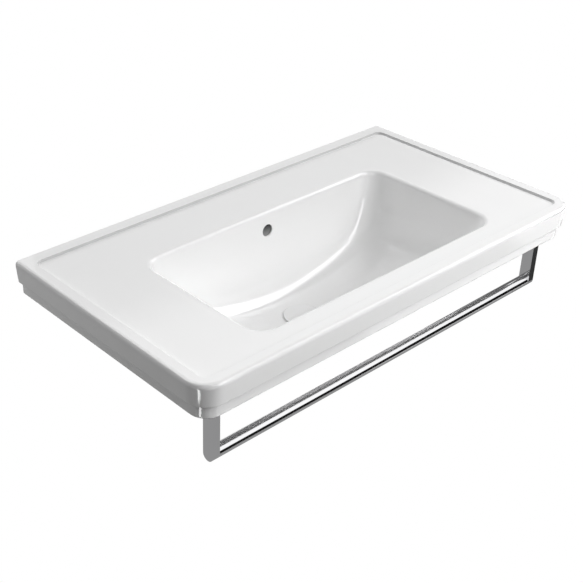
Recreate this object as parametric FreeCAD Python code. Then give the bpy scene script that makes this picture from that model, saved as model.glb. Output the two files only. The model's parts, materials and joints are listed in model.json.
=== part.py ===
import FreeCAD, Part
import math
import os

# A wide wall-hung washbasin with a raised rim, one rectangular bowl, a push-open waste and a towel rail.
# Millimetres. X runs to the right, Y into the wall, Z up.
# The origin is midway between the two wall bolts, on the wall.

# Overall size
basin_width = 1000.0
basin_depth = 537.0
corner_radius = 46.0
bolt_drop = 120.0

# How far a cutter stands past what it cuts, the distances below which two points
# or two heights are the same, and the angle in degrees below which two faces run on smoothly
overrun = 5.0
same_point = 1e-6
same_level = 0.05
smooth_angle = 5.0

# Fascia section, from the rim down, with its draft in degrees
edge_radius = 9.0
fascia_draft = 5.0
fascia_height = 46.5
fascia_lip_radius = 2.5
cove_radius = 5.5
band_inset = 11.0
foot_radius = 3.5
skirt_height = 74.0

# Raised rim round the sunken deck
rim_width = 25.0
step_depth = 5.0
step_run = 2.4
recess_radius = 16.0
step_foot_radius = 3.0
step_crest_radius = 2.0

# Bowl, measured where its walls meet the deck, with drafts in degrees
bowl_width = 636.0
bowl_front_margin = 67.0
bowl_back = 150.0
bowl_depth = 196.0
bowl_fillet = 46.0
lip_radius = 9.0
side_draft = 8.0
back_draft = 4.0
front_draft = 22.0
floor_radius = 700.0
side_radius = 105.0
scoop_radius_share = 0.475
scoop_dip = 14.0

# Walls of the casting and its open underside
deck_thickness = 12.0
bowl_wall = 11.0
skirt_wall = 13.0
back_wall = 16.0
pocket_radius = 16.0
corner_pad_width = 86.0
corner_pad_length = 84.0
corner_pad_radius = 14.0

# Back panel with the wall bolts, and the two cheeks that tie it to the bowl
panel_width = 460.0
panel_height = 190.0
panel_radius = 40.0
bolt_spacing = 280.0
bolt_hole_radius = 7.0
cheek_spacing = 400.0
cheek_thickness = 16.0
cheek_reach = 190.0
cheek_foot_length = 60.0
cheek_foot_height = 180.0
cheek_tip_height = 110.0

# Overflow hole and the channel behind the bowl that leads it to the waste
overflow_radius = 13.0
overflow_drop = 42.0
channel_skin = 10.0
channel_gap = 14.0
channel_cover = 8.0
channel_width = 40.0
channel_headroom = 4.0

# Waste hole in the floor, and the boss under it
waste_from_wall = 262.0
waste_hole_radius = 23.0
seat_radius = 42.0
seat_drop = 0.5
flange_pocket_clearance = 1.0
boss_radius = 46.0
boss_depth = 50.0

# Waste body
flange_radius = 32.0
flange_thickness = 2.5
flange_seal_thickness = 1.5
tube_radius = 20.75
tube_bore_radius = 18.5
tube_tail = 28.0
tail_radius = 20.4
thread_run_out = 2.0
slot_width = 15.0
slot_count = 3
spider_drop = 43.0
spider_thickness = 5.0
spider_arm_width = 4.5
spider_hub_radius = 9.0
plug_mouth_chamfer = 1.2

# Clamping rings and nut under the boss
ring_clearance = 0.3
washer_radius = 35.0
washer_thickness = 5.0
washer_taper = 2.0
slip_radius = 33.0
slip_thickness = 1.5
nut_across_flats = 56.0
nut_thickness = 10.0
nut_chamfer = 2.5

# Push-open cartridge, heights measured down from the seat
sleeve_radius = 8.5
sleeve_bore_radius = 6.5
sleeve_floor = 2.0
sleeve_collar = 2.5
sleeve_top_drop = 13.0
stem_radius = 5.0
stem_length = 8.0
thread_clearance = 0.1
rod_radius = 4.0
rod_stud_radius = 3.0
rod_stud_length = 6.0
piston_height = 4.0
piston_drop = 29.0
slide_clearance = 0.3
spring_wire_radius = 0.5
spring_turns = 6
spring_arcs_per_turn = 4
spring_clearance = 0.4

# Cover and its carrier
cover_radius = 39.0
cover_gap = 1.6
cover_edge = 2.9
cover_crown = 1.4
cover_rounding = 1.4
carrier_radius = 28.0
carrier_disc = 1.5
carrier_neck_radius = 16.4
carrier_neck_drop = 6.0
carrier_fit = 0.2
seal_section_radius = 1.4
seal_drop = 3.2

# Towel rail: a round tube on spigots between two flat legs with round ends
leg_side_inset = 59.5
leg_width = 17.0
rail_radius = 12.0
rail_front_inset = 36.0
rail_drop = 179.8
rail_edge_radius = 0.8
bar_wall = 1.5
spigot_length = 12.0
spigot_clearance = 0.1

# Feet of the towel rail: plate, pad, screws and plugs
foot_plate_width = 42.0
foot_plate_length = 54.0
foot_plate_thickness = 4.0
foot_plate_radius = 5.0
foot_pad_thickness = 1.5
screw_spacing = 24.0
screw_behind_leg = 15.0
screw_radius = 2.5
screw_length = 40.0
screw_head_radius = 4.8
screw_head_height = 2.4
plug_radius = 4.5
plug_length = 38.0
plug_collar_radius = 5.6
plug_collar_height = 1.2
plug_fit = 0.1

# Levels and places that follow from the sizes above
rim_z = bolt_drop
deck_z = rim_z - step_depth
under_deck_z = deck_z - deck_thickness
skirt_foot_z = rim_z - skirt_height
floor_z = deck_z - bowl_depth
seat_z = floor_z - seat_drop
boss_foot_z = floor_z - boss_depth
half_width = basin_width / 2
waste_y = -waste_from_wall
bowl_length = basin_depth - bowl_back - bowl_front_margin
scoop_radius = bowl_length * scoop_radius_share
bowl_back_y = -bowl_back
bowl_front_y = bowl_back_y - bowl_length
corner_x = half_width - corner_radius
corner_y = corner_radius - basin_depth
nut_z = boss_foot_z - washer_thickness - slip_thickness
tube_foot_z = nut_z - nut_thickness - tube_tail
spider_z = seat_z - spider_drop
spring_low_z = spider_z + sleeve_floor
piston_z = seat_z - piston_drop
carrier_foot_z = seat_z - carrier_neck_drop
seal_z = seat_z - seal_drop
seal_radius = tube_bore_radius - slide_clearance - seal_section_radius
leg_spacing = basin_width - 2 * leg_side_inset
rail_depth = 2 * rail_radius
rail_z = rim_z - rail_drop
foot_plate_z = skirt_foot_z - foot_pad_thickness - foot_plate_thickness


def sin(degrees):
    return math.sin(math.radians(degrees))


def cos(degrees):
    return math.cos(math.radians(degrees))


def tan(degrees):
    return math.tan(math.radians(degrees))


def vector(x, y, z):
    return FreeCAD.Vector(x, y, z)


def in_plan(u, v):
    return vector(u, v, 0)


def in_front_view(u, v):
    return vector(u, 0, v)


def in_side_view(u, v):
    return vector(0, u, v)


def corner(u, v):
    return [(u, v)]


def turn(centre, radius, from_angle, to_angle):
    """Arc as its start, middle and end points, with angles in degrees from the first axis."""
    angles = (from_angle, (from_angle + to_angle) / 2, to_angle)
    return [(centre[0] + radius * cos(a), centre[1] + radius * sin(a)) for a in angles]


def loop(pieces, place):
    """Closed wire through corners and arcs, joined by straight lines."""
    edges = []
    for piece, following in zip(pieces, pieces[1:] + pieces[:1]):
        if len(piece) > 1:
            edges.append(Part.Arc(*[place(*point) for point in piece]).toShape())
        start = place(*piece[-1])
        end = place(*following[0])
        if start.distanceToPoint(end) > same_point:
            edges.append(Part.makeLine(start, end))
    return Part.Wire(edges)


def sheet(pieces, place):
    return Part.Face(loop(pieces, place))


def rounded_rectangle(left, right, front, back, radius):
    return [
        turn((right - radius, front + radius), radius, -90, 0),
        turn((right - radius, back - radius), radius, 0, 90),
        turn((left + radius, back - radius), radius, 90, 180),
        turn((left + radius, front + radius), radius, 180, 270),
    ]


def block(left, right, front, back, radius, low, high):
    """Upright prism of a rounded rectangle."""
    base = sheet(rounded_rectangle(left, right, front, back, radius), in_plan)
    base.translate(vector(0, 0, low))
    return base.extrude(vector(0, 0, high - low))


def rod(radius, low, high, x=0, y=0):
    return Part.makeCylinder(radius, high - low, vector(x, y, low))


def ring(outer, inner, low, high, x=0, y=0):
    return rod(outer, low, high, x, y).cut(rod(inner, low - overrun, high + overrun, x, y))


def turned(pieces, x, y):
    """Solid of revolution about the upright line through x, y, from a radius and height outline."""
    solid = sheet(pieces, in_front_view).revolve(vector(0, 0, 0), vector(0, 0, 1), 360)
    solid.translate(vector(x, y, 0))
    return solid


def mirrored(shape):
    return shape.mirror(vector(0, 0, 0), vector(1, 0, 0))


def level_edges(shape, z, left, right, front, back):
    """Edges that lie at one height, inside a plan rectangle."""
    found = []
    for edge in shape.Edges:
        box = edge.BoundBox
        level = abs(box.Center.z - z) < same_level and box.ZLength < same_level
        inside = box.XMin > left and box.XMax < right and box.YMin > front and box.YMax < back
        if level and inside:
            found.append(edge)
    return found


def sharp_edges(solid, below):
    """Edges under one height where two faces meet at an angle."""
    found = []
    for edge in solid.Edges:
        if edge.BoundBox.ZMin > below - same_point:
            continue
        point = edge.valueAt((edge.FirstParameter + edge.LastParameter) / 2)
        normals = []
        for face in solid.ancestorsOfType(edge, Part.Face):
            normals.append(face.normalAt(*face.Surface.parameter(point)))
        if len(normals) == 2 and normals[0].getAngle(normals[1]) > math.radians(smooth_angle):
            found.append(edge)
    return found


def fascia_section():
    """Fascia outline as outward offset and height: rounded rim, drafted face, lip, cove, band and foot."""
    lip_step = edge_radius - fascia_lip_radius
    run = (fascia_height - fascia_lip_radius - edge_radius - lip_step * sin(fascia_draft)) / cos(fascia_draft)
    lip_centre = (
        -edge_radius + lip_step * cos(fascia_draft) - run * sin(fascia_draft),
        rim_z - fascia_height + fascia_lip_radius,
    )
    cove_centre = (cove_radius - band_inset, rim_z - fascia_height - cove_radius)
    foot_centre = (-band_inset - foot_radius, skirt_foot_z + foot_radius)
    return [
        corner(-corner_radius, rim_z),
        turn((-edge_radius, rim_z - edge_radius), edge_radius, 90, -fascia_draft),
        turn(lip_centre, fascia_lip_radius, -fascia_draft, -90),
        turn(cove_centre, cove_radius, 90, 180),
        turn(foot_centre, foot_radius, 0, -90),
        corner(-corner_radius, skirt_foot_z),
    ]


def slab():
    """Fascia section carried along both sides and the front and turned at the front corners."""
    section = sheet(fascia_section(), in_front_view)
    section.translate(vector(half_width, 0, 0))
    side = section.extrude(vector(0, corner_y, 0))
    section.translate(vector(0, corner_y, 0))
    bend = section.revolve(vector(corner_x, corner_y, 0), vector(0, 0, 1), -90)
    section.rotate(vector(corner_x, corner_y, 0), vector(0, 0, 1), -90)
    front = section.extrude(vector(-2 * corner_x, 0, 0))
    core = Part.makeBox(2 * corner_x, -corner_y, skirt_height, vector(-corner_x, corner_y, skirt_foot_z))
    return core.fuse([side, bend, front, mirrored(side), mirrored(bend)]).removeSplitter()


def sink_deck(solid):
    """Cuts the sunken deck with its sloped step, and rounds the step's foot and crest."""
    right = half_width - rim_width
    front = rim_width - basin_depth
    upper = loop(rounded_rectangle(-right, right, front, -rim_width, recess_radius), in_plan)
    upper.translate(vector(0, 0, rim_z))
    inner = [-right + step_run, right - step_run, front + step_run, -rim_width - step_run]
    lower = loop(rounded_rectangle(*inner, recess_radius - step_run), in_plan)
    lower.translate(vector(0, 0, deck_z))
    sunk = solid.cut(Part.makeLoft([upper, lower], True, True))
    outer_edge = half_width - edge_radius - same_point
    field = (-outer_edge, outer_edge, edge_radius - basin_depth + same_point, -same_point)
    sunk = sunk.makeFillet(step_foot_radius, level_edges(sunk, deck_z, *field))
    return sunk.makeFillet(step_crest_radius, level_edges(sunk, rim_z, *field))


def hammock(grow, top_z):
    """Bowl section seen from the front: drafted sides, side arcs and a wide floor arc, grown outwards."""
    span = bowl_width / 2 * cos(side_draft) - side_radius
    span += (floor_z + floor_radius - deck_z) * sin(side_draft)
    spread = math.degrees(math.asin(span / (floor_radius - side_radius))) - side_draft
    floor_centre = (0, floor_z + floor_radius)
    reach = floor_radius - side_radius
    side_centre_x = reach * sin(spread)
    side_centre_z = floor_centre[1] - reach * cos(spread)
    wall_foot = (
        side_centre_x + (side_radius + grow) * cos(side_draft),
        side_centre_z - (side_radius + grow) * sin(side_draft),
    )
    top_x = wall_foot[0] + (top_z - wall_foot[1]) * tan(side_draft)
    return [
        corner(-top_x, top_z),
        turn((-side_centre_x, side_centre_z), side_radius + grow, 180 + side_draft, 270 - spread),
        turn(floor_centre, floor_radius + grow, 270 - spread, 270 + spread),
        turn((side_centre_x, side_centre_z), side_radius + grow, 270 + spread, 360 - side_draft),
        corner(top_x, top_z),
    ]


def back_wall_y(z, grow):
    return bowl_back_y - (deck_z - z) * tan(back_draft) + grow / cos(back_draft)


def scoop(grow, top_z):
    """Bowl section seen from the side: steep back wall, and a leaning front wall that scoops to the floor."""
    base_z = floor_z - scoop_dip
    centre_z = base_z + scoop_radius
    centre_y = bowl_front_y + (deck_z - centre_z) * tan(front_draft) + scoop_radius / cos(front_draft)
    front_top_y = bowl_front_y - (top_z - deck_z) * tan(front_draft) - grow / cos(front_draft)
    return [
        corner(back_wall_y(top_z, grow), top_z),
        corner(back_wall_y(base_z - grow, grow), base_z - grow),
        turn((centre_y, centre_z), scoop_radius + grow, 270, 180 + front_draft),
        corner(front_top_y, top_z),
    ]


def bowl(grow, top_z):
    """Hammock section carried from front to back, trimmed by the scoop section, with its creases rounded."""
    across = sheet(hammock(grow, top_z), in_front_view).extrude(vector(0, -basin_depth, 0))
    along = sheet(scoop(grow, top_z), in_side_view).extrude(vector(basin_width, 0, 0))
    along.translate(vector(-half_width, 0, 0))
    rough = across.common(along)
    return rough.makeFillet(bowl_fillet + grow, sharp_edges(rough, top_z))


def underside_pocket():
    """Space under the deck inside the fascia, less the solid corners that carry the towel rail."""
    right = half_width - band_inset - skirt_wall
    front = band_inset + skirt_wall - basin_depth
    pocket = block(-right, right, front, -back_wall, pocket_radius, skirt_foot_z - overrun, under_deck_z)
    pad = block(
        right - corner_pad_width, right + corner_pad_radius + overrun,
        front - corner_pad_radius - overrun, front + corner_pad_length,
        corner_pad_radius, skirt_foot_z - overrun, under_deck_z,
    )
    return pocket.cut([pad, mirrored(pad)])


def back_panel():
    """Panel below the rear edge that takes the wall bolts, with rounded lower corners."""
    half = panel_width / 2
    low = rim_z - panel_height
    pieces = [
        corner(-half, under_deck_z),
        turn((panel_radius - half, low + panel_radius), panel_radius, 180, 270),
        turn((half - panel_radius, low + panel_radius), panel_radius, 270, 360),
        corner(half, under_deck_z),
    ]
    return sheet(pieces, in_front_view).extrude(vector(0, -back_wall, 0))


def cheek():
    """Upright web between the back panel and the bowl, on the right."""
    foot_z = rim_z - cheek_foot_height
    pieces = [
        corner(-back_wall / 2, under_deck_z),
        corner(-back_wall / 2, foot_z),
        corner(-cheek_foot_length, foot_z),
        corner(-cheek_reach, rim_z - cheek_tip_height),
        corner(-cheek_reach, under_deck_z),
    ]
    web = sheet(pieces, in_side_view).extrude(vector(cheek_thickness, 0, 0))
    web.translate(vector(cheek_spacing / 2 - cheek_thickness / 2, 0, 0))
    return web


def channel(inner, outer, width, top_z):
    """Band between two offsets of the bowl's back wall and floor, from one height down to the waste."""
    centre_z = floor_z + bowl_fillet
    centre = (back_wall_y(centre_z, 0) - bowl_fillet / cos(back_draft), centre_z)
    pieces = [
        corner(back_wall_y(top_z, inner), top_z),
        corner(back_wall_y(top_z, outer), top_z),
        turn(centre, bowl_fillet + outer, -back_draft, -90),
        corner(waste_y, floor_z - outer),
        corner(waste_y, floor_z - inner),
        turn(centre, bowl_fillet + inner, -90, -back_draft),
    ]
    band = sheet(pieces, in_side_view).extrude(vector(width, 0, 0))
    band.translate(vector(-width / 2, 0, 0))
    return band


def along_wall(radius, x, z, front, back):
    """Round cutter along Y."""
    return Part.makeCylinder(radius, back - front, vector(x, front, z), vector(0, 1, 0))


def foot_screw_places():
    rear = rail_front_y() + rail_depth + screw_behind_leg
    places = []
    for side in (-1, 1):
        for half in (-1, 1):
            places.append((side * leg_spacing / 2 + half * screw_spacing / 2, rear))
    return places


def rail_front_y():
    return rail_front_inset - basin_depth


def basin_body():
    """The ceramic casting."""
    overflow_z = deck_z - overflow_drop
    channel_top = overflow_z + overflow_radius + channel_headroom
    channel_outer = channel_skin + channel_gap
    casting = sink_deck(slab()).cut(underside_pocket())
    casting = casting.fuse([
        back_panel(),
        cheek(),
        mirrored(cheek()),
        bowl(bowl_wall, deck_z - deck_thickness / 2),
        channel(channel_skin / 2, channel_outer + channel_cover, channel_width + 2 * channel_cover,
                channel_top + channel_cover),
        rod(boss_radius, boss_foot_z, floor_z - channel_skin / 2, 0, waste_y),
    ])
    flange_pocket = flange_thickness + flange_seal_thickness
    cutters = [
        bowl(0, deck_z + overrun),
        channel(channel_skin, channel_outer, channel_width, channel_top),
        rod(seat_radius, seat_z, seat_z + overrun, 0, waste_y),
        rod(flange_radius + flange_pocket_clearance, seat_z - flange_pocket, seat_z + overrun, 0, waste_y),
        rod(waste_hole_radius, boss_foot_z - overrun, seat_z, 0, waste_y),
        along_wall(overflow_radius, 0, overflow_z, bowl_back_y - bowl_fillet,
                   back_wall_y(overflow_z, channel_skin) + overrun),
    ]
    for side in (-1, 1):
        cutters.append(along_wall(bolt_hole_radius, side * bolt_spacing / 2, 0, -back_wall - overrun, overrun))
    for x, y in foot_screw_places():
        cutters.append(rod(plug_radius + plug_fit, skirt_foot_z - overrun, skirt_foot_z + plug_length, x, y))
        cutters.append(rod(plug_collar_radius + plug_fit, skirt_foot_z - overrun,
                           skirt_foot_z + plug_collar_height, x, y))
    casting = casting.cut(cutters).removeSplitter()
    outer = half_width - rim_width - step_run - step_foot_radius - overrun
    field = (-outer, outer, -basin_depth + rim_width + step_run + step_foot_radius + overrun,
             -rim_width - step_run - step_foot_radius - overrun)
    return casting.makeFillet(lip_radius, level_edges(casting, deck_z, *field))


def waste_body():
    """Flange, threaded tube and plain tail, with overflow slots and a spider that holds the cartridge."""
    flange_foot = seat_z - flange_thickness
    shoulder_z = nut_z - nut_thickness - thread_run_out
    pipe = turned([
        corner(tube_bore_radius + plug_mouth_chamfer, seat_z),
        corner(flange_radius, seat_z),
        corner(flange_radius, flange_foot),
        corner(tube_radius, flange_foot),
        corner(tube_radius, shoulder_z),
        corner(tail_radius, shoulder_z),
        corner(tail_radius, tube_foot_z),
        corner(tube_bore_radius, tube_foot_z),
        corner(tube_bore_radius, seat_z - plug_mouth_chamfer),
    ], 0, waste_y)
    slot_low = floor_z - channel_skin - channel_gap
    arm_length = (tube_bore_radius + tube_radius) / 2
    arms = [rod(spider_hub_radius, spider_z - spider_thickness, spider_z, 0, waste_y)]
    slots = []
    for index in range(slot_count):
        angle = 90 + 360 * index / slot_count
        slot = Part.makeBox(tube_radius + overrun, slot_width, channel_gap,
                            vector(0, waste_y - slot_width / 2, slot_low))
        slot.rotate(vector(0, waste_y, 0), vector(0, 0, 1), angle)
        slots.append(slot)
        arm = Part.makeBox(arm_length, spider_arm_width, spider_thickness,
                           vector(0, waste_y - spider_arm_width / 2, spider_z - spider_thickness))
        arm.rotate(vector(0, waste_y, 0), vector(0, 0, 1), angle + 180 / slot_count)
        arms.append(arm)
    body = pipe.cut(slots).fuse(arms)
    thread = rod(stem_radius + thread_clearance, spider_z - spider_thickness - overrun, spider_z + overrun,
                 0, waste_y)
    return body.cut(thread).removeSplitter()


def flange_seal():
    high = seat_z - flange_thickness
    return ring(flange_radius, tube_radius + ring_clearance, high - flange_seal_thickness, high, 0, waste_y)


def underside_washer():
    """Rubber ring with a tapered lower edge."""
    inner = tube_radius + ring_clearance
    low = boss_foot_z - washer_thickness
    return turned([
        corner(inner, low),
        corner(washer_radius - washer_taper, low),
        corner(washer_radius, low + washer_taper),
        corner(washer_radius, boss_foot_z),
        corner(inner, boss_foot_z),
    ], 0, waste_y)


def slip_washer():
    high = boss_foot_z - washer_thickness
    return ring(slip_radius, tube_radius + ring_clearance, high - slip_thickness, high, 0, waste_y)


def backnut():
    """Hexagon nut with its lower corners turned off."""
    low = nut_z - nut_thickness
    corner_reach = nut_across_flats / 2 / cos(30)
    hexagon = [corner(corner_reach * cos(60 * i), corner_reach * sin(60 * i)) for i in range(6)]
    prism = sheet(hexagon, in_plan).extrude(vector(0, 0, nut_thickness))
    prism.translate(vector(0, waste_y, low))
    blank = turned([
        corner(tube_radius + thread_clearance, low),
        corner(corner_reach - nut_chamfer, low),
        corner(corner_reach, low + nut_chamfer),
        corner(corner_reach, nut_z),
        corner(tube_radius + thread_clearance, nut_z),
    ], 0, waste_y)
    return prism.common(blank)


def clicker_sleeve():
    """Cartridge body: threaded stem, floor, bore and a collar that guides the rod."""
    top = seat_z - sleeve_top_drop
    guide = rod_radius + slide_clearance
    return turned([
        corner(0, spider_z - stem_length),
        corner(stem_radius, spider_z - stem_length),
        corner(stem_radius, spider_z),
        corner(sleeve_radius, spider_z),
        corner(sleeve_radius, top),
        corner(guide, top),
        corner(guide, top - sleeve_collar),
        corner(sleeve_bore_radius, top - sleeve_collar),
        corner(sleeve_bore_radius, spring_low_z),
        corner(0, spring_low_z),
    ], 0, waste_y)


def clicker_plunger():
    """Piston, rod and the threaded stud that carries the cover."""
    piston_radius = sleeve_bore_radius - slide_clearance
    return turned([
        corner(0, piston_z),
        corner(piston_radius, piston_z),
        corner(piston_radius, piston_z + piston_height),
        corner(rod_radius, piston_z + piston_height),
        corner(rod_radius, carrier_foot_z),
        corner(rod_stud_radius, carrier_foot_z),
        corner(rod_stud_radius, carrier_foot_z + rod_stud_length),
        corner(0, carrier_foot_z + rod_stud_length),
    ], 0, waste_y)


def clicker_spring():
    """Coil between the sleeve's floor and the piston, swept along arcs of a quarter turn."""
    coil_radius = sleeve_bore_radius - spring_clearance - spring_wire_radius
    low = spring_low_z + spring_wire_radius + thread_clearance
    rise = piston_z - spring_wire_radius - thread_clearance - low
    arcs = spring_turns * spring_arcs_per_turn

    def coil(step):
        angle = 360 * step / spring_arcs_per_turn
        return vector(coil_radius * cos(angle), waste_y + coil_radius * sin(angle), low + rise * step / arcs)

    edges = []
    for index in range(arcs):
        edges.append(Part.Arc(coil(index), coil(index + 0.5), coil(index + 1)).toShape())
    path = Part.Wire(edges)
    start = edges[0].tangentAt(edges[0].FirstParameter)
    wire = Part.Wire(Part.makeCircle(spring_wire_radius, coil(0), start))
    return path.makePipeShell([wire], True, False)


def plug_carrier():
    """Disc that holds the cover, and a neck with a groove for the seal."""
    disc_foot = seat_z + cover_gap
    disc_top = disc_foot + carrier_disc
    groove = seal_section_radius + thread_clearance
    mouth = math.degrees(math.acos((carrier_neck_radius - seal_radius) / groove))
    stud_hole = rod_stud_radius + thread_clearance
    stud_top = carrier_foot_z + rod_stud_length + slide_clearance
    return turned([
        corner(0, disc_top),
        corner(carrier_radius, disc_top),
        corner(carrier_radius, disc_foot),
        corner(carrier_neck_radius, disc_foot),
        turn((seal_radius, seal_z), groove, mouth, 360 - mouth),
        corner(carrier_neck_radius, carrier_foot_z),
        corner(stud_hole, carrier_foot_z),
        corner(stud_hole, stud_top),
        corner(0, stud_top),
    ], 0, waste_y)


def plug_seal():
    return Part.makeTorus(seal_radius, seal_section_radius, vector(0, waste_y, seal_z))


def waste_cover():
    """Round ceramic cover: shallow dome, rounded edge and a recess that takes the carrier's disc."""
    foot = seat_z + cover_gap
    edge = foot + cover_edge
    shoulder = cover_radius - cover_rounding
    dome_radius = (shoulder ** 2 + cover_crown ** 2) / (2 * cover_crown)
    dome_centre = (0, edge + cover_crown - dome_radius)
    dome_angle = math.degrees(math.acos(shoulder / dome_radius))
    return turned([
        corner(0, foot + carrier_disc),
        corner(carrier_radius + carrier_fit, foot + carrier_disc),
        corner(carrier_radius + carrier_fit, foot),
        corner(cover_radius, foot),
        turn((shoulder, edge - cover_rounding), cover_rounding, 0, 90),
        turn(dome_centre, dome_radius, dome_angle, 90),
    ], 0, waste_y)


def along_bar(radius, start, end):
    """Round bar along X, on the axis of the towel rail."""
    axis_y = rail_front_y() + rail_radius
    return Part.makeCylinder(radius, end - start, vector(start, axis_y, rail_z), vector(1, 0, 0))


def rail_bar():
    half = (leg_spacing - leg_width) / 2
    bore = along_bar(rail_radius - bar_wall, -half - overrun, half + overrun)
    return along_bar(rail_radius, -half, half).cut(bore)


def leg_outline():
    """Side outline of a leg: broken top edges and a half-round foot."""
    front = rail_front_y()
    back = front + rail_depth
    top = foot_plate_z - rail_edge_radius
    centre = (front + rail_radius, rail_z)
    return [
        turn((front + rail_edge_radius, top), rail_edge_radius, 180, 90),
        turn((back - rail_edge_radius, top), rail_edge_radius, 90, 0),
        turn(centre, rail_radius, 0, -90),
        turn(centre, rail_radius, -90, -180),
    ]


def rail_leg(side):
    """Upright of the towel rail, with the edges of its outer face broken and a spigot for the tube."""
    leg = sheet(leg_outline(), in_side_view).extrude(vector(leg_width, 0, 0))
    leg.translate(vector(side * leg_spacing / 2 - leg_width / 2, 0, 0))
    outer = side * (leg_spacing + leg_width) / 2
    edges = []
    for edge in leg.Edges:
        box = edge.BoundBox
        if abs(box.Center.x - outer) < same_level and box.ZMin < foot_plate_z - rail_edge_radius - same_level:
            edges.append(edge)
    inner = side * (leg_spacing - leg_width) / 2
    ends = sorted((inner, inner - side * spigot_length))
    spigot = along_bar(rail_radius - bar_wall - spigot_clearance, *ends)
    return leg.makeFillet(rail_edge_radius, edges).fuse(spigot).removeSplitter()


def foot_block(side, low, high):
    """Outline of a foot plate or pad, as a prism."""
    centre = side * leg_spacing / 2
    half = foot_plate_width / 2
    front = rail_front_y()
    return block(centre - half, centre + half, front, front + foot_plate_length, foot_plate_radius, low, high)


def foot_plate(side):
    """Plate on top of a leg, countersunk for its screws."""
    plate = foot_block(side, foot_plate_z, foot_plate_z + foot_plate_thickness)
    holes = []
    for x, y in foot_screw_places():
        holes.append(screw(x, y, thread_clearance))
    return plate.cut(holes)


def foot_pad(side):
    pad = foot_block(side, foot_plate_z + foot_plate_thickness, skirt_foot_z)
    holes = []
    for x, y in foot_screw_places():
        holes.append(rod(screw_radius + thread_clearance, foot_plate_z, skirt_foot_z + overrun, x, y))
    return pad.cut(holes)


def screw(x, y, grow):
    """Countersunk screw, or a cutter for it when grown."""
    head = foot_plate_z + screw_head_height
    return turned([
        corner(0, foot_plate_z),
        corner(screw_head_radius + grow, foot_plate_z),
        corner(screw_radius + grow, head),
        corner(screw_radius + grow, foot_plate_z + screw_length),
        corner(0, foot_plate_z + screw_length),
    ], x, y)


def foot_plug(x, y):
    """Nylon plug with a collar, pressed into the ceramic."""
    bore = screw_radius + thread_clearance
    return turned([
        corner(bore, skirt_foot_z),
        corner(plug_collar_radius, skirt_foot_z),
        corner(plug_collar_radius, skirt_foot_z + plug_collar_height),
        corner(plug_radius, skirt_foot_z + plug_collar_height),
        corner(plug_radius, skirt_foot_z + plug_length),
        corner(bore, skirt_foot_z + plug_length),
    ], x, y)


def all_pieces():
    pieces = {
        "basin_body": basin_body(),
        "waste_body": waste_body(),
        "flange_seal": flange_seal(),
        "underside_washer": underside_washer(),
        "slip_washer": slip_washer(),
        "backnut": backnut(),
        "clicker_sleeve": clicker_sleeve(),
        "clicker_plunger": clicker_plunger(),
        "clicker_spring": clicker_spring(),
        "plug_carrier": plug_carrier(),
        "plug_seal": plug_seal(),
        "waste_cover": waste_cover(),
        "rail_bar": rail_bar(),
        "foot_screws": Part.makeCompound([screw(x, y, 0) for x, y in foot_screw_places()]),
        "foot_plugs": Part.makeCompound([foot_plug(x, y) for x, y in foot_screw_places()]),
    }
    for name, side in (("left", -1), ("right", 1)):
        pieces[name + "_leg"] = rail_leg(side)
        pieces[name + "_foot_plate"] = foot_plate(side)
        pieces[name + "_foot_pad"] = foot_pad(side)
    return pieces


os.makedirs("parts", exist_ok=True)
for node, shape in all_pieces().items():
    shape.exportStep("parts/" + node + ".step")
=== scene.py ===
import json
import math
from math import radians

import bmesh
import bpy
import numpy as np
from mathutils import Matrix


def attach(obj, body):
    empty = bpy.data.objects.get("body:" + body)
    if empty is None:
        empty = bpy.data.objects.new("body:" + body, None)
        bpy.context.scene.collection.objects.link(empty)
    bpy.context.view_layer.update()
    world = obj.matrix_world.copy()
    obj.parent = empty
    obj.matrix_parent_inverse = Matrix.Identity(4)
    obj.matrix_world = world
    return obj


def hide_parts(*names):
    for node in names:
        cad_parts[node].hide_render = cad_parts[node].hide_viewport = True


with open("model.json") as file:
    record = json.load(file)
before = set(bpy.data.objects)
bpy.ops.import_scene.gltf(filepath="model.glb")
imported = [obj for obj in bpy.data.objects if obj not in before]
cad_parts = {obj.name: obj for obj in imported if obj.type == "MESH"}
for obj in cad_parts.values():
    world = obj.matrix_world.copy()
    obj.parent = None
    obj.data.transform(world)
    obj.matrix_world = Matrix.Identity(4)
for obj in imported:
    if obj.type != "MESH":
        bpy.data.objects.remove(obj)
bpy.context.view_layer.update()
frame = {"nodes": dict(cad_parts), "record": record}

# Looks of a wide wall-hung washbasin with a towel rail.
# Sizes are in millimetres, in the frame of the solids: X to the right, Y into the wall, Z up.
MM = 0.001

# Casting: outline, rim, step and deck
half_width = 500.0
depth = 537.0
corner_radius = 46.0
rear_corner_radius = 1.2
rim_z = 120.0
deck_z = 115.0
rim_width = 25.0
recess_radius = 16.0
step_run = 3.4
step_crest_radius = 0.5
step_foot_radius = 0.7

# Fascia section; the arcs of the rim's edge are pairs of first tilt and radius
edge_arcs = ((0.0, 17.0), (18.0, 3.0), (50.0, 10.0))
fascia_draft = 5.0
fascia_height = 46.5
fascia_lip_radius = 2.5
cove_radius = 5.5
band_inset = 11.0
foot_radius = 3.5
skirt_foot_z = 46.0

# Bowl
bowl_half_width = 318.0
bowl_back_y = -150.0
bowl_front_y = -470.0
floor_z = -81.0
floor_radius = 700.0
side_radius = 105.0
side_draft = 8.0
back_draft = 4.0
front_draft = 22.0
scoop_radius = 152.0
scoop_dip = 14.0
bowl_fillet = 46.0
mouth_fillet = 38.0
lip_radius = 9.0
bowl_wall = 11.0
ray_height = 20.0
ray_limit = 700.0
halvings = 48

# Underside of the casting
under_deck_z = 103.0
pocket_half_width = 475.0
pocket_front_y = -512.0
pocket_back_y = -16.0
pocket_radius = 16.0
pad_width = 86.0
pad_length = 84.0
pad_radius = 14.0
pad_run_end = 1.2
boss_radius = 46.0
boss_foot_z = -131.0
boss_edge = 2.0

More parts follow.
